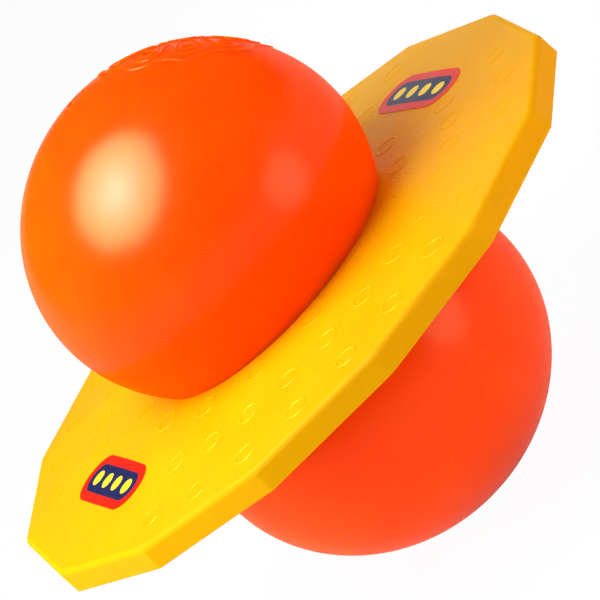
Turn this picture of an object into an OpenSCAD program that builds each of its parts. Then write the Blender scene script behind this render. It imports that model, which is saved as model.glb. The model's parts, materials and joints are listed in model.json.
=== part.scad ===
// Pogo ball: an inflated figure-eight ball whose waist sits in the hole of a 14-sided platform.
// Z is the ball's axis, z = 0 is the ground, and one corner of the platform points along +X.

/* [Platform] */
// Width across two opposite sides
platform_flats = 460; // [400:1:520]
// Height of the flank at the rim
rim_h = 18; // [14:0.5:26]
// Rounding radius of the top edge
edge_round = 4; // [1:0.5:6]
// How much each corner's tip is turned down
tip_cut = 0.5; // [0.2:0.1:2]
// Slope of the top face, which rises from the rim to the ball, in degrees
deck_slope = 3.6; // [1:0.1:6]
// Thickness of the top wall
deck_wall = 4; // [3:0.5:7]
// Thickness of the skirt
skirt_wall = 3.5; // [2.5:0.5:6]
// Radius of the hole that grips the ball's waist
hole_r = 84; // [76:0.5:88]
// Thickness of the hub around the hole
hub_wall = 7; // [5.5:0.5:12]
// Rounding radius of the hole's two lips
lip_round = 4; // [2:0.5:5]

/* [Ribs] */
// Thickness of every rib
rib_wall = 3; // [2:0.5:4]
// How far the ribs stay above the rim's lower edge
rib_recess = 1; // [0.5:0.5:4]
// Number of ring ribs between hub and skirt
ring_ribs = 3; // [2:1:5]

/* [Raised rings] */
// Outer diameter of a ring
ring_d = 17.7; // [12:0.1:22]
// Width of a ring's line
ring_line = 1.8; // [1:0.1:3]
// Height of a ring above the deck
ring_h = 0.4; // [0.3:0.1:1.2]
// Radius of the outer row
outer_row_r = 204.5; // [196:0.5:210]
// Radius of the middle row
middle_row_r = 159.8; // [145:0.5:175]
// Radius of the inner row
inner_row_r = 115.5; // [112:0.5:122]
// Angle from ring to ring in the outer and middle rows, in degrees
ring_pitch = 12.5; // [10:0.5:20]
// Number of rings in the inner row
inner_rings = 15; // [8:1:18]
// Angle kept free of rings on each side of a badge, in degrees
badge_free = 21.6; // [20:0.1:30]

/* [Badges] */
// Length of a badge along the rim
badge_l = 96; // [60:1:105]
// Width of a badge
badge_w = 36; // [20:1:40]
// Thickness of a badge
badge_t = 0.4; // [0.2:0.1:1]
// Distance of a badge's middle from the ball's axis
badge_r = 165; // [160:1:175]
// Direction of the first badge, in degrees
badge_a_turn = -5.5; // [-20:0.5:20]
// Direction of the second badge, in degrees
badge_b_turn = 183.1; // [160:0.1:200]

/* [Ball] */
// Radius of the upper lobe at its widest
upper_r = 119.5; // [112:0.5:130]
// Half of the upper lobe's height as a full oval
upper_half_h = 111.3; // [104:0.1:120]
// Height of the upper lobe's middle above the rim's top edge
upper_lift = 70.9; // [66:0.1:76]
// Radius of the lower lobe at its widest
lower_r = 124.4; // [114:0.1:134]
// Half of the lower lobe's height as a full oval
lower_half_h = 112.7; // [104:0.1:120]
// Depth of the lower lobe's middle below the rim's top edge
lower_drop = 81.5; // [74:0.1:86]
// Thickness of the ball's wall
ball_wall = 3; // [2:0.1:4.5]
// Radius of the flat patch on which the ball stands
foot_r = 25; // [15:0.5:40]
// Gap between the ball and the platform
seat_gap = 0.3; // [0.2:0.05:0.6]

/* [Valve] */
// Angle of the valve from the top of the ball, in degrees
valve_tilt = 7.5; // [0:0.5:20]
// Direction of the valve about the ball's axis, in degrees
valve_turn = 240; // [0:5:355]
// Radius of the dimple's floor
dimple_r = 6.5; // [6:0.1:9]
// Depth of the dimple below the ball's surface
dimple_depth = 2; // [1.5:0.1:3]
// How much the dimple widens to its mouth
dimple_flare = 2; // [0.5:0.1:3]
// Wall left around and below the dimple by the boss inside the ball
boss_wall = 3.5; // [2.5:0.1:6]
// Length of the boss below the dimple's floor
boss_h = 7; // [5:0.5:12]
// Radius of the plug's stem
stem_r = 3; // [2:0.1:4]
// Length of the plug's stem
stem_l = 9.5; // [6:0.5:14]
// Gap between the stem and its hole
stem_gap = 0.05; // [0.02:0.01:0.1]
// Radius of the plug's head
plug_head_r = 5.4; // [5:0.1:5.8]
// Height of the plug's head
plug_head_h = 1.6; // [1:0.1:2.5]
// Chamfer at the plug's head and tip
plug_chamfer = 0.6; // [0.2:0.1:0.8]

/* [Hidden] */
$fn = 96;

ball_orange = [1.0, 0.28, 0.0];
deck_yellow = [1.0, 0.82, 0.0];
badge_red = [0.85, 0.1, 0.08];

sides = 14;
side_angle = 360 / sides;
half_w = platform_flats / 2;
corner_r = half_w / cos(side_angle / 2);
rise = tan(deck_slope);
over = 10;

// Heights, all measured from the ground up through the lower lobe
lower_z = lower_half_h * sqrt(1 - pow(foot_r / lower_r, 2));
rim_top = lower_z + lower_drop;
rim_bottom = rim_top - rim_h;
upper_z = rim_top + upper_lift;
pole_z = upper_z + upper_half_h;
pole_curve = upper_r * upper_r / upper_half_h;

neck_r = hole_r - seat_gap;
neck_bore = neck_r - ball_wall;
lower_seat = rim_bottom - seat_gap;
hub_r = hole_r + hub_wall;
boss_r = dimple_r + boss_wall;

// Height of the deck's top above the rim's lower edge, at distance x from the axis towards a side
function deck_h(x) = rim_h + rise * (half_w - x);

// Height of the ball's seat at radius r, clear of the deck's corner creases
function seat_z(r) = rim_bottom + deck_h(r * cos(side_angle / 2)) + seat_gap;

// Section of one pair of opposite sides: a low gable whose eaves are rounded with radius r
module gable_section(half, eave, r) {
    centre_x = half - r;
    centre_z = eave + rise * r - r / cos(deck_slope);
    touch_x = centre_x + r * sin(deck_slope);
    touch_z = centre_z + r * cos(deck_slope);
    ridge_z = eave + rise * half;
    polygon([
        [-half, 0], [half, 0], [half, centre_z], [touch_x, touch_z],
        [0, ridge_z], [-touch_x, touch_z], [-half, centre_z]
    ]);
    for (side = [-1, 1])
        translate([side * centre_x, centre_z])
            circle(r);
}

// Section of one pair of opposite sides with sharp eaves
module sharp_section(half, eave) {
    polygon([[-half, 0], [half, 0], [half, eave], [0, eave + rise * half], [-half, eave]]);
}

// Sets a section across every pair of opposite sides and keeps what they share
module across_sides(length) {
    intersection_for (k = [0 : sides / 2 - 1])
        rotate([0, 0, (k + 0.5) * side_angle])
            rotate([90, 0, 0])
                linear_extrude(height = length, center = true)
                    children();
}

// The platform's outer form, with its lower edge at z = 0
module platform_form() {
    intersection() {
        across_sides(2 * corner_r + over)
            gable_section(half_w, rim_h, edge_round);
        cylinder(r = corner_r - tip_cut, h = deck_h(0) + over);
    }
}

// The hollow beneath the deck, before the hub and the ribs are left standing in it
module platform_hollow() {
    inner = half_w - skirt_wall;
    translate([0, 0, -over])
        across_sides(2 * corner_r + over)
            sharp_section(inner, over + rim_h + rise * skirt_wall - deck_wall / cos(deck_slope));
}

// Radial ribs to the corners, and ring ribs evenly spaced between hub and skirt
module platform_ribs() {
    rib_top = deck_h(0);
    ring_step = (half_w - skirt_wall - hub_r) / (ring_ribs + 1);
    translate([0, 0, rib_recess]) {
        for (k = [0 : sides - 1])
            rotate([0, 0, k * side_angle])
                translate([hole_r + hub_wall / 2, -rib_wall / 2, 0])
                    cube([corner_r - hole_r - hub_wall / 2, rib_wall, rib_top]);
        for (k = [1 : ring_ribs])
            difference() {
                cylinder(r = hub_r + k * ring_step + rib_wall / 2, h = rib_top);
                translate([0, 0, -over])
                    cylinder(r = hub_r + k * ring_step - rib_wall / 2, h = rib_top + 2 * over);
            }
    }
}

// The hole for the waist, with both of its lips rounded
module platform_hole() {
    lip_r = hole_r + lip_round;
    lip_top = deck_h(lip_r) - lip_round;
    rotate_extrude() {
        translate([0, -over])
            square([hole_r, deck_h(0) + 2 * over]);
        difference() {
            translate([0, lip_top])
                square([lip_r, lip_round + over]);
            translate([lip_r, lip_top])
                circle(lip_round);
        }
        difference() {
            translate([0, -over])
                square([lip_r, lip_round + over]);
            translate([lip_r, lip_round])
                circle(lip_round);
        }
    }
}

// One ring's wall, upright through the deck's top face and rooted in the deck's wall
module ring_wall(row_r, turn) {
    root = deck_h(row_r + ring_d / 2) - deck_wall / 4;
    rotate([0, 0, turn])
        translate([row_r, 0, root])
            difference() {
                cylinder(d = ring_d, h = over);
                translate([0, 0, -over])
                    cylinder(d = ring_d - 2 * ring_line, h = 3 * over);
            }
}

// All raised rings: two rows that run between the badges, and one full row beside the ball
module raised_rings() {
    near_arc = badge_b_turn - badge_a_turn;
    arcs = [[-1, near_arc], [1, 360 - near_arc]];
    intersection() {
        translate([0, 0, ring_h])
            platform_form();
        union() {
            for (arc = arcs, row_r = [outer_row_r, middle_row_r])
                for (k = [0 : floor((arc[1] - 2 * badge_free) / ring_pitch)])
                    ring_wall(row_r, badge_b_turn + arc[0] * (badge_free + k * ring_pitch));
            for (k = [0 : inner_rings - 1])
                ring_wall(inner_row_r, badge_b_turn + (k + 0.5) * 360 / inner_rings);
        }
    }
}

module platform_deck() {
    color(deck_yellow)
        translate([0, 0, rim_bottom]) {
            difference() {
                platform_form();
                difference() {
                    platform_hollow();
                    cylinder(r = hub_r, h = deck_h(0));
                    platform_ribs();
                }
                platform_hole();
            }
            raised_rings();
        }
}

// A badge lies on the deck's slope: a round-ended plate cut between the deck and its own thickness
module badge(turn) {
    color(badge_red)
        translate([0, 0, rim_bottom])
            difference() {
                intersection() {
                    translate([0, 0, badge_t])
                        platform_form();
                    rotate([0, 0, turn])
                        translate([badge_r, 0, 0])
                            linear_extrude(height = deck_h(0) + over) {
                                square([badge_w, badge_l - badge_w], center = true);
                                for (side = [-1, 1])
                                    translate([0, side * (badge_l - badge_w) / 2])
                                        circle(d = badge_w);
                            }
                }
                platform_form();
            }
}

module badge_a() {
    badge(badge_a_turn);
}

module badge_b() {
    badge(badge_b_turn);
}

// A full oval lobe about its own middle
module oval(r, half_h) {
    scale([1, 1, half_h / r])
        sphere(r = r);
}

// Everything above the ball's seat on the deck, raised by lift
module above_seat(lift) {
    reach = 2 * hole_r;
    rotate_extrude()
        polygon([
            [0, seat_z(0) + lift], [reach, seat_z(reach) + lift],
            [reach, pole_z + over], [0, pole_z + over]
        ]);
}

// Places a child on the valve's axis, with its origin on the ball's surface and +Z pointing outwards
module at_valve() {
    translate([0, 0, pole_z - pole_curve])
        rotate([0, valve_tilt, valve_turn])
            translate([0, 0, pole_curve])
                children();
}

module upper_lobe() {
    floor_lift = ball_wall / cos(deck_slope);
    color(ball_orange)
        difference() {
            union() {
                difference() {
                    intersection() {
                        translate([0, 0, upper_z])
                            oval(upper_r, upper_half_h);
                        above_seat(0);
                    }
                    intersection() {
                        translate([0, 0, upper_z])
                            oval(upper_r - ball_wall, upper_half_h - ball_wall);
                        above_seat(floor_lift);
                    }
                }
                translate([0, 0, lower_seat])
                    cylinder(r = neck_r, h = seat_z(neck_r) + floor_lift / 2 - lower_seat);
                at_valve()
                    translate([0, 0, -dimple_depth - boss_h])
                        cylinder(r = boss_r, h = dimple_depth + boss_h - ball_wall / 2);
            }
            translate([0, 0, lower_seat - over])
                cylinder(r = neck_bore, h = seat_z(0) + floor_lift - lower_seat + 2 * over);
            at_valve() {
                translate([0, 0, -dimple_depth])
                    cylinder(r1 = dimple_r, r2 = dimple_r + 2 * dimple_flare, h = 2 * dimple_depth);
                translate([0, 0, -dimple_depth - boss_h - over])
                    cylinder(r = stem_r + stem_gap, h = boss_h + 2 * over);
            }
        }
}

module lower_lobe() {
    color(ball_orange)
        difference() {
            intersection() {
                translate([0, 0, lower_z])
                    oval(lower_r, lower_half_h);
                cylinder(r = lower_r + over, h = lower_seat);
            }
            intersection() {
                translate([0, 0, lower_z])
                    oval(lower_r - ball_wall, lower_half_h - ball_wall);
                translate([0, 0, ball_wall])
                    cylinder(r = lower_r + over, h = lower_seat - 2 * ball_wall);
            }
            translate([0, 0, lower_z])
                cylinder(r = neck_bore, h = lower_seat);
        }
}

// A stopper: a flat head that fills the dimple, and a straight stem in the boss's hole
module valve_plug() {
    color(ball_orange)
        at_valve()
            translate([0, 0, -dimple_depth])
                rotate_extrude()
                    polygon([
                        [0, -stem_l], [stem_r - plug_chamfer, -stem_l], [stem_r, -stem_l + plug_chamfer],
                        [stem_r, 0], [plug_head_r, 0], [plug_head_r, plug_head_h - plug_chamfer],
                        [plug_head_r - plug_chamfer, plug_head_h], [0, plug_head_h]
                    ]);
}

lower_lobe();
upper_lobe();
valve_plug();
platform_deck();
badge_a();
badge_b();
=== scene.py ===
import json
import math

import bmesh
import bpy
from bmesh.types import BMEdge, BMFace, BMVert
from mathutils import Matrix, Vector
from mathutils.kdtree import KDTree


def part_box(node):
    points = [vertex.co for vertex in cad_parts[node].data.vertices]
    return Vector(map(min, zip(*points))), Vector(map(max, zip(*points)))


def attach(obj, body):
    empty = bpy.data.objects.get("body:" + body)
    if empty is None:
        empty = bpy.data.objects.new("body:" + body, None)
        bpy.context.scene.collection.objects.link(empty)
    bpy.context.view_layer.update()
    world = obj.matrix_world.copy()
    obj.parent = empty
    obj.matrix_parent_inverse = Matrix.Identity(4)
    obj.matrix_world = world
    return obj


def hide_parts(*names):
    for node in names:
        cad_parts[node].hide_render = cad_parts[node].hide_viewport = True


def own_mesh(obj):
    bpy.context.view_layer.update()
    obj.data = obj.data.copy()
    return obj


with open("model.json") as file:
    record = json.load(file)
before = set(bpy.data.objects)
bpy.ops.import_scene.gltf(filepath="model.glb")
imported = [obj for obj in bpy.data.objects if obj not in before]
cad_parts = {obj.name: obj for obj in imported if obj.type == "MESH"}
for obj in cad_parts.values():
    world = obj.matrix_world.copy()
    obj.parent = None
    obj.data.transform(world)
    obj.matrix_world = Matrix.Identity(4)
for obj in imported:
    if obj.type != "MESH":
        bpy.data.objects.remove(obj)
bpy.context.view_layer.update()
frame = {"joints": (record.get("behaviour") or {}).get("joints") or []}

# Lower lobe of the ball: the half that meets the ground, blown tight with air.
# Soft orange PVC, rotation-moulded in one skin with the waist and the upper lobe.
# Its top presses flat under the platform, and a small round patch of it stands on the ground.
lower_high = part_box("lower_lobe")[1]
lower_r = lower_high.x
lower_half_h = 0.1127
lower_seat = lower_high.z
foot_r = 0.025
lower_z = lower_half_h * math.sqrt(1 - (foot_r / lower_r) ** 2)
foot_soft = 0.003
shoulder_soft = 0.004
soft_steps = 5
lobe_facets = 160
metre_mm = 1000


def joint(name):
    """The joint of that name."""
    return next(j for j in frame["joints"] if j["name"] == name)


def linear(hex_colour):
    """Turns an sRGB hex colour into the linear colour that a shader takes."""
    shares = [int(hex_colour[i : i + 2], 16) / 255 for i in (1, 3, 5)]
    return [s / 12.92 if s <= 0.04045 else ((s + 0.055) / 1.055) ** 2.4 for s in shares] + [1.0]


def node(tree, kind, feeds, **settings):
    """Adds a node; each feed is a value for that input, or the socket that is linked to it."""
    made = tree.nodes.new(kind)
    for name, value in settings.items():
        setattr(made, name, value)
    for name, value in feeds.items():
        if isinstance(value, bpy.types.NodeSocket):
            tree.links.new(value, made.inputs[name])
        else:
            made.inputs[name].default_value = value
    return made


def new_material(name, **sockets):
    """Starts a finish: its material, its nodes, its shader with the given sockets, and Object coordinates."""
    material = bpy.data.materials.new(name)
    material.use_nodes = True
    tree = material.node_tree
    shader = tree.nodes["Principled BSDF"]
    for socket, value in sockets.items():
        shader.inputs[socket.replace("_", " ")].default_value = value
    place = node(tree, "ShaderNodeTexCoord", {}).outputs["Object"]
    return material, tree, shader, place


def drift(tree, shader, place, patch_mm, detail, colours, roughness):
    """Lets a moulding's pigment and its roughness drift between two values, in soft patches."""
    fades = (0.3, 0.7)
    patches = node(
        tree, "ShaderNodeTexNoise", {"Vector": place, "Scale": metre_mm / patch_mm, "Detail": detail}
    )
    pigment = node(tree, "ShaderNodeValToRGB", {"Fac": patches.outputs["Fac"]})
    for stop, share, colour in zip(pigment.color_ramp.elements, fades, colours):
        stop.position = share
        stop.color = linear(colour)
    tree.links.new(pigment.outputs["Color"], shader.inputs["Base Color"])
    dulled = node(
        tree,
        "ShaderNodeMapRange",
        {"Value": patches.outputs["Fac"], "From Min": fades[0], "From Max": fades[1],
         "To Min": roughness[0], "To Max": roughness[1]},
    )
    tree.links.new(dulled.outputs["Result"], shader.inputs["Roughness"])


def soft_pvc():
    """Satin PVC skin: light sinks into the orange and glows back, under a thin bloom of gloss."""
    # The gloss is a weak coat, so the rims keep their orange. The moulded grain is too fine to show,
    # so it is drawn coarse enough to break up the highlight.
    grain_mm = 1.5
    grain_depth = 0.00015
    material, tree, shader, place = new_material(
        "soft_pvc_satin", Specular_IOR_Level=0.0, Coat_Weight=0.2, Coat_Roughness=0.2, Coat_IOR=1.53,
        Subsurface_Weight=0.6, Subsurface_Scale=0.06, Subsurface_Radius=(1.0, 0.06, 0.03),
    )
    oranges = ("#FF4600", "#FF4C00")
    drift(tree, shader, place, patch_mm=60, detail=2.0, colours=oranges, roughness=(0.19, 0.22))
    grain = node(tree, "ShaderNodeTexNoise", {"Vector": place, "Scale": metre_mm / grain_mm, "Detail": 1.0})
    bump = node(
        tree, "ShaderNodeBump", {"Height": grain.outputs["Fac"], "Strength": 0.7, "Distance": grain_depth}
    )
    for socket in ("Normal", "Coat Normal"):
        tree.links.new(bump.outputs["Normal"], shader.inputs[socket])
    return material


def only(kind, geom):
    """The corners, edges or faces among what an operator gives back."""
    return [part for part in geom if isinstance(part, kind)]


def cut_level(shape, height, side):
    """Cuts a shape level, drops what lies above (side 1) or below (side -1), and gives the open rim."""
    cut = bmesh.ops.bisect_plane(
        shape,
        geom=shape.verts[:] + shape.edges[:] + shape.faces[:],
        plane_co=(0, 0, height),
        plane_no=(0, 0, side),
        clear_outer=True,
    )
    return only(BMEdge, cut["geom_cut"])


def piece(shape, name, *materials):
    """Makes a named object of a bmesh, at the origin, with its materials in the order of their slots."""
    mesh = bpy.data.meshes.new(name)
    shape.to_mesh(mesh)
    shape.free()
    for material in materials:
        mesh.materials.append(material)
    made = bpy.data.objects.new(name, mesh)
    bpy.context.scene.collection.objects.link(made)
    return made


lobe = bmesh.new()
bmesh.ops.create_uvsphere(lobe, u_segments=lobe_facets, v_segments=lobe_facets // 2, radius=1.0)
bmesh.ops.scale(lobe, vec=(lower_r, lower_r, lower_half_h), verts=lobe.verts)
bmesh.ops.translate(lobe, vec=(0, 0, lower_z), verts=lobe.verts)
foot_rim = cut_level(lobe, 0.0, -1)
bmesh.ops.edgeloop_fill(lobe, edges=foot_rim)
shoulder = cut_level(lobe, lower_seat, 1)
bmesh.ops.edgeloop_fill(lobe, edges=shoulder)
for soft_edge, reach in ((foot_rim, foot_soft), (shoulder, shoulder_soft)):
    bmesh.ops.bevel(
        lobe, geom=soft_edge, offset=reach, affect="EDGES", segments=soft_steps, profile=0.5, material=-1
    )
bmesh.ops.recalc_face_normals(lobe, faces=lobe.faces)
for face in lobe.faces:
    is_flat_cap = len(face.verts) > 4
    face.smooth = not is_flat_cap
pvc = soft_pvc()
lower_skin = piece(lobe, "lower_lobe_skin", pvc)
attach(lower_skin, "ground_ball")
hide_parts("lower_lobe")
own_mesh(lower_skin)

# Upper lobe of the ball: the half that the ankles grip, with the neck that fills the platform's hole.
# The same soft PVC skin. A dimple near its top holds the filling valve, and a round ornament of
# raised lines is moulded into its shoulder.
upper_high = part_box("upper_lobe")[1]
upper_r = upper_high.x
upper_half_h = 0.1113
upper_z = upper_high.z - upper_half_h
seat_rise = 0.0268
neck_r = 0.0837
neck_l = 0.0279
valve_axis = Vector(joint("plug_pull")["axis"]).normalized()
pole_curve = upper_r**2 / upper_half_h
valve_point = Vector((0, 0, upper_high.z - pole_curve)) + pole_curve * valve_axis
valve_bore_r = 0.00305
valve_bore_l = 0.012
dimple_depth = 0.002
dimple_floor_r = 0.0062
dimple_mouth_r = 0.0092
fine_step = 0.00045
fine_rings = 18
ring_growth = 1.3
coarse_step = math.radians(2)
sharp_turn = math.radians(40)


def from_middle(co):
    """The way from the lobe's middle to a point of its skin, on the unit sphere."""
    return Vector((co.x / upper_r, co.y / upper_r, (co.z - upper_z) / upper_half_h)).normalized()


def on_upper_lobe(direction, height):
    """The point of the upper lobe in a direction of its unit sphere, raised by a height along its normal."""
    surface = Vector((upper_r * direction.x, upper_r * direction.y, upper_half_h * direction.z))
    normal = Vector((direction.x / upper_r, direction.y / upper_r, direction.z / upper_half_h))
    return Vector((0, 0, upper_z)) + surface + height * normal.normalized()


def next_loop(shape, loop, place):
    """Draws a new loop of a shell out of the last one, with each corner where place puts it."""
    drawn = bmesh.ops.extrude_edge_only(shape, edges=loop)["geom"]
    corners = only(BMVert, drawn)
    for corner in corners:
        corner.co = place(corner.co)
    return [e for e in only(BMEdge, drawn) if all(v in corners for v in e.verts)]


def on_circle(radius, height_at):
    """Places a loop on a circle, at the height that height_at gives for each of its points."""
    def place(co):
        flat = Vector((co.x, co.y)).normalized() * radius
        return (flat.x, flat.y, height_at(flat.x, flat.y))
    return place


def level_at(height):
    """The same height everywhere."""
    return lambda x, y: height


# The rings of the mesh run round the valve, so that the dimple and the bore stay truly round
lobe = bmesh.new()
angles = [(valve_bore_r + fine_step * i) / upper_r for i in range(fine_rings)]
while angles[-1] < math.pi - coarse_step:
    angles.append(angles[-1] + min(coarse_step, ring_growth * (angles[-1] - angles[-2])))
chain = [lobe.verts.new((math.sin(a), 0, math.cos(a))) for a in angles]
links = [lobe.edges.new(pair) for pair in zip(chain, chain[1:])]
bmesh.ops.spin(
    lobe, geom=chain + links, cent=(0, 0, 0), axis=(0, 0, 1),
    angle=2 * math.pi, steps=lobe_facets, use_merge=True,
)
lean = Vector((0, 0, 1)).rotation_difference(from_middle(valve_point)).to_matrix()
bmesh.ops.rotate(lobe, cent=(0, 0, 0), matrix=lean, verts=lobe.verts)
for corner in lobe.verts:
    corner.co = on_upper_lobe(corner.co, 0)
    from_valve = corner.co - valve_point
    off_axis = (from_valve - valve_axis * from_valve.dot(valve_axis)).length
    if off_axis < dimple_mouth_r and corner.co.z > upper_z:
        share = max(0.0, (off_axis - dimple_floor_r) / (dimple_mouth_r - dimple_floor_r))
        eased = share * share * (3 - 2 * share)
        corner.co -= valve_axis * dimple_depth * (1 - eased)
bore_rim = [e for e in lobe.edges if e.is_boundary and e.verts[0].co.z > upper_z]
bore_end = next_loop(lobe, bore_rim, lambda co: co - valve_bore_l * valve_axis)
bmesh.ops.contextual_create(lobe, geom=bore_end)
neck = cut_level(lobe, lower_seat + seat_rise, -1)
for height in (lower_seat + neck_l, lower_seat):
    neck = next_loop(lobe, neck, on_circle(neck_r, level_at(height)))
bmesh.ops.edgeloop_fill(lobe, edges=neck)
bmesh.ops.recalc_face_normals(lobe, faces=lobe.faces)

# The ornament is drawn flat, as thin lines, and the skin swells softly along them
ornament_turn = math.radians(184)
ornament_rise = math.radians(47)
ornament_line = 0.003
ornament_h = 0.001
ornament_reach = 0.064
ornament_cuts = 5
ornament_margin = 1.1
heart_rings = (0.009, 0.0145)
heart_knots = 12
petals = 9
petal_half = math.radians(14)
petal_knots = [(0.02, 0), (0.035, -0.9), (0.047, -0.85), (0.052, 0), (0.047, 0.85), (0.035, 0.9)]
eye_r = 0.04
eye_half_l = 0.0045
eye_half_turn = 0.11
eye_knots = 6
border_r = 0.058
border_wave = 0.003
drawing = bpy.data.curves.new("ornament_lines", "CURVE")
drawing.dimensions = "3D"
drawing.resolution_u = 40


def draw_line(points):
    """Adds one closed smooth line through a few flat points, each given by radius and angle."""
    line = drawing.splines.new("BEZIER")
    line.bezier_points.add(len(points) - 1)
    for knot, (radius, turn) in zip(line.bezier_points, points):
        knot.co = (radius * math.cos(turn), radius * math.sin(turn), 0)
        knot.handle_left_type = "AUTO"
        knot.handle_right_type = "AUTO"
    line.use_cyclic_u = True


def full_turn(count):
    """The angles of a full turn in equal steps."""
    return [2 * math.pi * i / count for i in range(count)]


for ring_r in heart_rings:
    draw_line([(ring_r, turn) for turn in full_turn(heart_knots)])
draw_line([(border_r + border_wave * math.cos(petals * turn), turn) for turn in full_turn(2 * petals)])
for middle in full_turn(petals):
    draw_line([(radius, middle + side * petal_half) for radius, side in petal_knots])
    draw_line([(eye_r + eye_half_l * math.cos(a), middle + eye_half_turn * math.sin(a))
               for a in full_turn(eye_knots)])
lines = bpy.data.objects.new("ornament_lines", drawing)
bpy.context.scene.collection.objects.link(lines)
traced = bpy.data.meshes.new_from_object(lines.evaluated_get(bpy.context.evaluated_depsgraph_get()))
bpy.data.objects.remove(lines)
nearest = KDTree(len(traced.vertices))
for i, point in enumerate(traced.vertices):
    nearest.insert(point.co, i)
nearest.balance()
bpy.data.meshes.remove(traced)


def bearing(turn, rise):
    """The unit vector at a turn round the axis and a rise above the level."""
    return Vector((math.cos(turn) * math.cos(rise), math.sin(turn) * math.cos(rise), math.sin(rise)))


outward = bearing(ornament_turn, ornament_rise)
sideways = bearing(ornament_turn + math.pi / 2, 0)
upward = outward.cross(sideways)


def in_drawing(co):
    """Where a point of the lobe's skin lies in the flat drawing."""
    way = from_middle(co)
    aside = Vector((way.dot(sideways), way.dot(upward), 0)).normalized()
    return upper_r * way.angle(outward) * aside


ornate = [f for f in lobe.faces if in_drawing(f.calc_center_median()).length < ornament_reach]
ornate_edges = list({e for f in ornate for e in f.edges})
bmesh.ops.subdivide_edges(lobe, edges=ornate_edges, cuts=ornament_cuts, use_grid_fill=True)
for corner in lobe.verts:
    flat = in_drawing(corner.co)
    if flat.length < ornament_margin * ornament_reach:
        apart = min(nearest.find(flat)[2], ornament_line / 2)
        swell = ornament_h * math.cos(math.pi * apart / ornament_line) ** 2
        corner.co = on_upper_lobe(from_middle(corner.co), swell)
for edge in lobe.edges:
    edge.smooth = edge.calc_face_angle(0) < sharp_turn
for face in lobe.faces:
    face.smooth = True
upper_skin = piece(lobe, "upper_lobe_skin", pvc)
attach(upper_skin, "grip_ball")
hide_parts("upper_lobe")

# Valve stopper: a small round plug that is pushed into the bore of the dimple and keeps the air in.
# Moulded from the same orange PVC, a little harder, with a flat head that a fingernail can lift.
stem_r = 0.003
stem_l = 0.0095
head_r = 0.0054
head_h = 0.0016
stopper_soft = 0.0005
stopper_steps = 3
stopper_facets = 48
weld_gap = 1e-6
stopper = bmesh.new()
turned = [(0, -stem_l), (stem_r, -stem_l), (stem_r, 0), (head_r, 0), (head_r, head_h), (0, head_h)]
chain = [stopper.verts.new((x, 0, z)) for x, z in turned]
links = [stopper.edges.new(pair) for pair in zip(chain, chain[1:])]
bmesh.ops.bevel(
    stopper, geom=chain[1:-1], offset=stopper_soft, affect="VERTICES",
    segments=stopper_steps, profile=0.5, material=-1,
)
bmesh.ops.spin(
    stopper, geom=stopper.verts[:] + stopper.edges[:], cent=(0, 0, 0), axis=(0, 0, 1),
    angle=2 * math.pi, steps=stopper_facets, use_merge=True,
)
bmesh.ops.remove_doubles(stopper, verts=stopper.verts, dist=weld_gap)
bmesh.ops.recalc_face_normals(stopper, faces=stopper.faces)
lean = Vector((0, 0, 1)).rotation_difference(valve_axis).to_matrix()
bmesh.ops.rotate(stopper, cent=(0, 0, 0), matrix=lean, verts=stopper.verts)
bmesh.ops.translate(stopper, vec=valve_point - dimple_depth * valve_axis, verts=stopper.verts)
for face in stopper.faces:
    face.smooth = True
stopper = piece(stopper, "valve_stopper", pvc)
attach(stopper, "plug")
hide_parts("valve_plug")

# Platform: the 14-sided deck that the feet stand on, gripped by the waist of the ball.
# Injection-moulded yellow polypropylene with a skirt, a hub and ribs beneath; the mould gives its top
# a leather-like grain and rows of thin raised rings.
deck_low, deck_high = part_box("platform_deck")
sides = 14
side_angle = 2 * math.pi / sides
half_w = deck_high.y
corner_r = half_w / math.cos(side_angle / 2)
corner_soft = 0.003
corner_steps = 4
side_cuts = 9
shortest_side = 0.03
rim_bottom = deck_low.z
rim_h = 0.018
rim_top = rim_bottom + rim_h
rise = math.tan(math.radians(3.6))
deck_wall = 0.004
skirt_wall = 0.0035
hole_r = 0.084
hub_r = 0.091
edge_round = 0.004
edge_steps = 6
lip_round = 0.004
lip_steps = 5
foot_edge = 0.0006
foot_steps = 2


def off_middle(x, y):
    """The angle between a point and the middle of the side that it lies towards."""
    return math.atan2(y, x) % side_angle - side_angle / 2


def deck_top(x, y):
    """Height of the deck's top, whose 14 planes rise from the rim to the ball."""
    return rim_top + rise * (half_w - math.hypot(x, y) * math.cos(off_middle(x, y)))


def deck_under(x, y):
    """Height of the deck's inner face, one wall below its top."""
    return deck_top(x, y) - deck_wall


def on_outline(inset, height):
    """Places a loop along the sides at a height, moved inwards by an inset."""
    def place(co):
        share = (half_w - inset) / (math.hypot(co.x, co.y) * math.cos(off_middle(co.x, co.y)))
        return (co.x * share, co.y * share, height)
    return place


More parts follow.
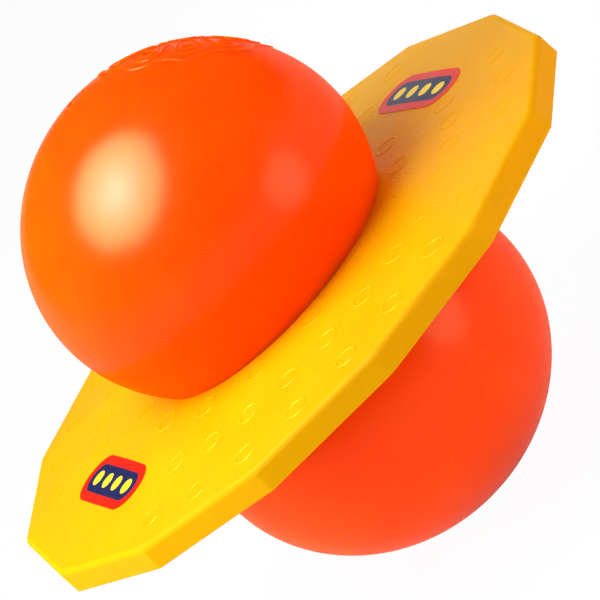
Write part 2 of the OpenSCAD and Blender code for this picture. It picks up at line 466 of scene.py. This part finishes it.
def yellow_plastic(name, grain_mm, grain_depth, dull, gloss):
    """Moulded polypropylene: a waxy yellow that drifts a little, under a pebbled grain of a given cell."""
    # The leather cells are drawn somewhat larger than the mould's, so that they show from a step away
    yellows = ("#D89E00", "#DCA300")
    dull_range = (dull - 0.03, dull + 0.03)
    warp_mm = 2.5 * grain_mm
    material, tree, shader, place = new_material(
        name, IOR=1.49, Specular_IOR_Level=gloss, Specular_Tint=linear("#FFE8A0")
    )
    drift(tree, shader, place, patch_mm=45, detail=3.0, colours=yellows, roughness=dull_range)
    warp = node(tree, "ShaderNodeTexNoise", {"Vector": place, "Scale": metre_mm / warp_mm, "Detail": 2.0})
    bent = node(
        tree,
        "ShaderNodeMixRGB",
        {"Fac": grain_mm / metre_mm, "Color1": place, "Color2": warp.outputs["Color"]},
        blend_type="ADD",
    )
    pebbles = node(
        tree, "ShaderNodeTexVoronoi", {"Vector": bent.outputs["Color"], "Scale": metre_mm / grain_mm}
    )
    bump = node(
        tree,
        "ShaderNodeBump",
        {"Height": pebbles.outputs["Distance"], "Strength": 0.8, "Distance": grain_depth},
        invert=True,
    )
    tree.links.new(bump.outputs["Normal"], shader.inputs["Normal"])
    return material


deck = bmesh.new()
corners = bmesh.ops.create_circle(deck, cap_ends=True, segments=sides, radius=corner_r)["verts"]
half_side = Matrix.Rotation(side_angle / 2, 3, "Z")
bmesh.ops.rotate(deck, cent=(0, 0, 0), matrix=half_side, verts=corners)
bmesh.ops.bevel(
    deck, geom=corners, offset=corner_soft, affect="VERTICES", segments=corner_steps, profile=0.5, material=-1
)
bmesh.ops.delete(deck, geom=deck.faces[:], context="FACES_ONLY")
long_edges = [e for e in deck.edges if e.calc_length() > shortest_side]
bmesh.ops.subdivide_edges(deck, edges=long_edges, cuts=side_cuts)
bmesh.ops.translate(deck, vec=(0, 0, rim_top), verts=deck.verts)
rim_edge = deck.edges[:]
lip_top = next_loop(deck, rim_edge, on_circle(hole_r, deck_top))
top_faces = deck.faces[:]
lip_bottom = next_loop(deck, lip_top, on_circle(hole_r, level_at(rim_bottom)))
hub_foot = next_loop(deck, lip_bottom, on_circle(hub_r, level_at(rim_bottom)))
hub_root = next_loop(deck, hub_foot, on_circle(hub_r, deck_under))
skirt_root = next_loop(deck, hub_root, on_outline(skirt_wall, rim_top + rise * skirt_wall - deck_wall))
skirt_foot = next_loop(deck, skirt_root, on_outline(skirt_wall, rim_bottom))
rim_foot = next_loop(deck, skirt_foot, on_outline(0, rim_bottom))
bmesh.ops.bridge_loops(deck, edges=rim_foot + rim_edge)
bmesh.ops.recalc_face_normals(deck, faces=deck.faces)
leather, plain = 0, 1
for face in deck.faces:
    face.material_index = plain
for face in top_faces:
    face.material_index = leather
for edges, reach, steps in (
    (rim_edge, edge_round, edge_steps),
    (lip_top + lip_bottom, lip_round, lip_steps),
    (rim_foot + skirt_foot + hub_foot, foot_edge, foot_steps),
):
    rounded = bmesh.ops.bevel(
        deck, geom=edges, offset=reach, affect="EDGES", segments=steps, profile=0.5, material=-1
    )
    for face in rounded["faces"]:
        face.material_index = plain

# Ribs beneath the deck: one to each corner, and rings between hub and skirt
rib_wall = 0.003
rib_recess = 0.001
rib_root = deck_wall / 2
ring_ribs = 3
ring_rib_step = (half_w - skirt_wall - hub_r) / (ring_ribs + 1)
ring_rib_facets = 12 * sides
rib_inner = (hole_r + hub_r) / 2
rib_outer = corner_r - skirt_wall
square = ((-0.5, -0.5), (0.5, -0.5), (0.5, 0.5), (-0.5, 0.5))
ribs = bmesh.new()
for k in range(sides):
    bar = bmesh.ops.create_cube(ribs, size=1.0)["verts"]
    bmesh.ops.scale(ribs, vec=(rib_outer - rib_inner, rib_wall, 1), verts=bar)
    bmesh.ops.translate(ribs, vec=((rib_outer + rib_inner) / 2, 0, 0), verts=bar)
    bmesh.ops.rotate(ribs, cent=(0, 0, 0), matrix=Matrix.Rotation(k * side_angle, 3, "Z"), verts=bar)
for k in range(1, ring_ribs + 1):
    middle = hub_r + k * ring_rib_step
    section = [ribs.verts.new((middle + x * rib_wall, 0, z)) for x, z in square]
    links = [ribs.edges.new((section[i - 1], section[i])) for i in range(len(section))]
    bmesh.ops.spin(
        ribs, geom=section + links, cent=(0, 0, 0), axis=(0, 0, 1),
        angle=2 * math.pi, steps=ring_rib_facets, use_merge=True,
    )
bmesh.ops.recalc_face_normals(ribs, faces=ribs.faces)
for corner in ribs.verts:
    is_foot = corner.co.z < 0
    corner.co.z = rim_bottom + rib_recess if is_foot else deck_top(corner.co.x, corner.co.y) - rib_root
for face in ribs.faces:
    face.material_index = plain
rib_mesh = bpy.data.meshes.new("deck_ribs")
ribs.to_mesh(rib_mesh)
ribs.free()
deck.from_mesh(rib_mesh)
bpy.data.meshes.remove(rib_mesh)

# Raised rings: two rows that run between the badges, and one full row beside the ball.
# Each ring's line swells softly out of the deck, with its foot rooted in the wall.
ring_d = 0.0177
ring_line = 0.002
ring_h = 0.0004
ring_sink = ring_h / 20
ring_root = 0.0005
ring_steps = 8
ring_facets = 48
outer_row_r = 0.2045
middle_row_r = 0.1598
inner_row_r = 0.1155
inner_rings = 15
ring_pitch_deg = 12.5
badge_free_deg = 21.6
badge_a_deg = -5.5
badge_b_deg = 183.1
ring = bmesh.new()
across = [ring_line * (i / ring_steps - 0.5) for i in range(ring_steps + 1)]
bead = [(x, ring_h * math.cos(math.pi * x / ring_line) ** 2 - ring_sink) for x in across]
bead += [(across[-1], -ring_root), (across[0], -ring_root)]
section = [ring.verts.new(((ring_d - ring_line) / 2 + x, 0, z)) for x, z in bead]
links = [ring.edges.new((section[i - 1], section[i])) for i in range(len(section))]
bmesh.ops.spin(
    ring, geom=section + links, cent=(0, 0, 0), axis=(0, 0, 1),
    angle=2 * math.pi, steps=ring_facets, use_merge=True,
)
bmesh.ops.recalc_face_normals(ring, faces=ring.faces)
for edge in ring.edges:
    edge.smooth = edge.calc_face_angle() < sharp_turn
ring_mesh = bpy.data.meshes.new("raised_ring")
ring.to_mesh(ring_mesh)
ring.free()
near_arc_deg = badge_b_deg - badge_a_deg
places = [(inner_row_r, badge_b_deg + (k + 0.5) * 360 / inner_rings) for k in range(inner_rings)]
for way, arc_deg in ((-1, near_arc_deg), (1, 360 - near_arc_deg)):
    for k in range(int((arc_deg - 2 * badge_free_deg) / ring_pitch_deg) + 1):
        turn_deg = badge_b_deg + way * (badge_free_deg + k * ring_pitch_deg)
        places += [(outer_row_r, turn_deg), (middle_row_r, turn_deg)]
for row_r, turn_deg in places:
    known = len(deck.verts)
    deck.from_mesh(ring_mesh)
    deck.verts.ensure_lookup_table()
    corners = deck.verts[known:]
    bmesh.ops.translate(deck, vec=row_r * bearing(math.radians(turn_deg), 0), verts=corners)
    for corner in corners:
        corner.co.z += deck_top(corner.co.x, corner.co.y)
bpy.data.meshes.remove(ring_mesh)
for face in deck.faces:
    face.smooth = True
deck = piece(
    deck,
    "deck_moulding",
    yellow_plastic("polypropylene_leather_grain", grain_mm=2.4, grain_depth=0.0003, dull=0.4, gloss=0.08),
    yellow_plastic("polypropylene_plain", grain_mm=0.9, grain_depth=0.00003, dull=0.65, gloss=0.05),
)
level_faces = deck.modifiers.new("level_faces", "WEIGHTED_NORMAL")
level_faces.keep_sharp = True
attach(deck, "platform")
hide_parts("platform_deck")

# Badges: two glossy printed films stuck on the deck, one at each end, that read from outside the rim.
# Vinyl film with a red ground, a dark blue band and a row of yellow spots; the print is laid out flat
# and then pressed onto the deck's slope.
badge_l = 0.096
badge_w = 0.036
badge_t = 0.0004
badge_r = 0.165
film_t = 0.8 * badge_t
band_margin = 0.007
spot_d = 0.0115
spot_pitch = 0.019
spot_count = 4
pill_facets = 40
middle_gap = 1e-7


def printed_film(name, colour):
    """Glossy vinyl film in one ink, with the slight waviness of a film on a grained deck, and painted shade
    along its waves.
    """
    wave_mm = 6
    wave_depth = 0.0002
    material, tree, shader, place = new_material(name, IOR=1.5, Specular_IOR_Level=0.08, Roughness=0.22)
    wave = node(tree, "ShaderNodeTexNoise", {"Vector": place, "Scale": metre_mm / wave_mm, "Detail": 2.0})
    # The ink is made a little lighter and darker with the same waves as the bump: painted shade of the
    # waviness
    painted_wave_shade = node(tree, "ShaderNodeMapRange", {"Value": wave.outputs["Fac"], "To Min": 0.92, "To Max": 1.08})
    ink = node(tree, "ShaderNodeHueSaturation", {"Color": linear(colour), "Value": painted_wave_shade.outputs["Result"]})
    tree.links.new(ink.outputs["Color"], shader.inputs["Base Color"])
    bump = node(
        tree, "ShaderNodeBump", {"Height": wave.outputs["Fac"], "Strength": 0.3, "Distance": wave_depth}
    )
    tree.links.new(bump.outputs["Normal"], shader.inputs["Normal"])
    return material


inks = [
    printed_film("vinyl_film_red", "#D8210F"),
    printed_film("vinyl_film_navy", "#1B2350"),
    printed_film("vinyl_film_yellow", "#F6DC2E"),
]
red, navy, yellow = range(len(inks))


def pill(shape, length, width, middle):
    """A flat closed outline with straight sides and round ends, as edges."""
    made = bmesh.ops.create_circle(shape, cap_ends=False, segments=pill_facets, radius=width / 2)["verts"]
    for corner in made:
        if abs(corner.co.x) > middle_gap:
            corner.co.x += math.copysign((length - width) / 2, corner.co.x)
    bmesh.ops.translate(shape, vec=(middle, 0, 0), verts=made)
    return list({e for v in made for e in v.link_edges})


for name, stands_for, turn_deg in (
    ("badge_film_a", "badge_a", badge_a_deg),
    ("badge_film_b", "badge_b", badge_b_deg),
):
    film = bmesh.new()
    ground = pill(film, badge_l, badge_w, 0)
    band = pill(film, badge_l - 2 * band_margin, badge_w - 2 * band_margin, 0)
    spots = [pill(film, spot_d, spot_d, spot_pitch * (i - (spot_count - 1) / 2)) for i in range(spot_count)]
    regions = [(ground + band, red), (band + sum(spots, []), navy)] + [(spot, yellow) for spot in spots]
    for edges, ink in regions:
        filled = bmesh.ops.triangle_fill(film, edges=edges, use_beauty=True, normal=(0, 0, 1))["geom"]
        for face in only(BMFace, filled):
            face.material_index = ink
    bmesh.ops.rotate(film, cent=(0, 0, 0), matrix=Matrix.Rotation(math.pi / 2, 3, "Z"), verts=film.verts)
    bmesh.ops.translate(film, vec=(badge_r, 0, 0), verts=film.verts)
    to_its_end = Matrix.Rotation(math.radians(turn_deg), 3, "Z")
    bmesh.ops.rotate(film, cent=(0, 0, 0), matrix=to_its_end, verts=film.verts)
    for k in range(sides // 2):
        bmesh.ops.bisect_plane(
            film,
            geom=film.verts[:] + film.edges[:] + film.faces[:],
            plane_co=(0, 0, 0),
            plane_no=bearing(k * side_angle + math.pi / 2, 0),
        )
    bmesh.ops.recalc_face_normals(film, faces=film.faces)
    for face in film.faces:
        if face.normal.z < 0:
            face.normal_flip()
    for corner in film.verts:
        corner.co.z = deck_top(corner.co.x, corner.co.y) + badge_t
    bmesh.ops.solidify(film, geom=film.faces[:], thickness=film_t)
    film = piece(film, name, *inks)
    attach(film, "platform")
    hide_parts(stands_for)

# Studio: a white paper floor under a dim room, with a low white cove all round it.
# Nested soft boxes over the ball make its highlight, which falls off from the middle outwards; they show
# only in gloss. The other boxes only light, and the two on the right shine off warm reflectors.
floor_half = 9.0
cove_top = 0.03
room_level = 0.07
shadow_share = 0.04
box_roll = math.radians(22.6)


def seen_directly(tree):
    """One for what is seen straight or in gloss or glass, and none for light that falls on things."""
    path = node(tree, "ShaderNodeLightPath", {})
    straight = path.outputs["Is Camera Ray"]
    in_gloss = path.outputs["Is Glossy Ray"]
    in_glass = path.outputs["Is Transmission Ray"]
    two = node(tree, "ShaderNodeMath", {0: straight, 1: in_gloss}, operation="MAXIMUM")
    three = node(tree, "ShaderNodeMath", {0: two.outputs[0], 1: in_glass}, operation="MAXIMUM")
    return three.outputs[0]


# Matt paper shows no gloss of its own, only white and the toy's soft shadow
paper, tree, shader, _ = new_material("matt_white_paper", Roughness=0.9, Base_Color=linear("#F6F6F6"))
glow = node(tree, "ShaderNodeEmission", {"Color": (1, 1, 1, 1), "Strength": 1.0})
share = node(tree, "ShaderNodeMath", {0: seen_directly(tree), 1: 1 - shadow_share}, operation="MULTIPLY")
mixed = node(tree, "ShaderNodeMixShader", {0: share.outputs[0], 1: shader.outputs[0], 2: glow.outputs[0]})
tree.links.new(mixed.outputs[0], tree.nodes["Material Output"].inputs["Surface"])
floor = bmesh.new()
bmesh.ops.create_grid(floor, x_segments=1, y_segments=1, size=floor_half)
floor = piece(floor, "studio_floor", paper)

room = bpy.data.worlds.new("white_cove")
room.use_nodes = True
tree = room.node_tree
way = node(tree, "ShaderNodeTexCoord", {}).outputs["Generated"]
height = node(tree, "ShaderNodeSeparateXYZ", {"Vector": way}).outputs["Z"]
brightness = node(
    tree,
    "ShaderNodeMapRange",
    {"Value": height, "From Min": cove_top, "From Max": 2 * cove_top, "To Min": 1.0, "To Max": room_level},
    interpolation_type="SMOOTHSTEP",
)
tree.links.new(brightness.outputs["Result"], tree.nodes["Background"].inputs["Strength"])
tree.nodes["Background"].inputs["Color"].default_value = (1, 1, 1, 1)
bpy.context.scene.world = room


def soft_box(name, place, aim, size, power, tone="#FFFFFF", in_gloss=False):
    """A soft oval light, turned to its aim, that either lights things or only shows in their gloss."""
    lamp = bpy.data.lights.new(name, "AREA")
    lamp.shape = "ELLIPSE"
    lamp.size, lamp.size_y = size
    lamp.energy = power
    lamp.color = linear(tone)[:3]
    made = bpy.data.objects.new(name, lamp)
    made.location = place
    turned_to = (Vector(aim) - Vector(place)).to_track_quat("-Z", "Y").to_matrix()
    made.rotation_euler = (turned_to @ Matrix.Rotation(box_roll, 3, "Z")).to_euler()
    made.visible_camera = False
    made.visible_diffuse = not in_gloss
    made.visible_glossy = in_gloss
    bpy.context.scene.collection.objects.link(made)


ball_front = (0.03, 0.05, 0.33)
ball_middle = (0, 0.03, 0.26)
ball_low = (0, 0, 0.15)
far_deck = (-0.05, 0, 0.2)
far_badge = (-0.165, 0, 0.19)
waist_front = (-0.02, 0.11, 0.2)
soft_box("over_box_sheen", (0.26, 0.129, 0.907), ball_front, (0.72, 0.86), 78.0, "#FFE099", in_gloss=True)
soft_box("over_box_middle", (0.258, 0.128, 0.904), ball_front, (0.38, 0.46), 9.0, "#FFFAF0", in_gloss=True)
soft_box("over_box_lamp", (0.256, 0.127, 0.901), ball_front, (0.16, 0.2), 2.2, in_gloss=True)
soft_box("low_panel", (-0.36, 0.53, 0.17), waist_front, (0.34, 0.32), 2.0, "#FFE4BC", in_gloss=True)
soft_box("far_panel", (-0.333, -0.552, 0.346), far_badge, (0.3, 0.2), 0.11, in_gloss=True)
soft_box("over_box", (0.36, 0.16, 0.85), ball_front, (0.68, 0.78), 8.0)
soft_box("top_fill", (0.0, 0.1, 1.5), ball_middle, (0.9, 0.9), 4.0)
soft_box("back_fill", (1.0, -0.5, 0.55), ball_middle, (0.6, 0.6), 9.5)
soft_box("left_fill", (1.3, 0.5, 0.25), ball_low, (0.9, 0.6), 3.2)
soft_box("right_fill", (-1.0, 0.7, 0.4), ball_low, (0.7, 0.4), 5.2, "#FFD8BE")
soft_box("front_fill", (-0.45, 1.25, 0.7), ball_low, (0.9, 0.3), 4.2, "#FFD8BE")
soft_box("far_fill", (-0.9, -0.95, 0.5), far_deck, (0.7, 0.7), 8.0)

# Camera: a long lens, far off and a little above the deck.
# It is rolled, so that the toy leans across the picture as if caught in mid-bounce.
photo_width_px = 600
focal_px = 7286
camera_aim = Vector((-0.0040, 0.0011, 0.1765))
camera_turn = math.radians(74.84)
camera_rise = math.radians(17.26)
camera_away = 4.691
camera_roll = math.radians(-47.79)
lens = bpy.data.cameras.new("photo_camera")
lens.lens = lens.sensor_width * focal_px / photo_width_px
camera = bpy.data.objects.new("photo_camera", lens)
back = bearing(camera_turn, camera_rise)
camera.location = camera_aim + camera_away * back
facing = (-back).to_track_quat("-Z", "Y").to_matrix() @ Matrix.Rotation(camera_roll, 3, "Z")
camera.rotation_euler = facing.to_euler()
bpy.context.scene.collection.objects.link(camera)
bpy.context.scene.camera = camera
bpy.context.scene.view_settings.view_transform = "Standard"
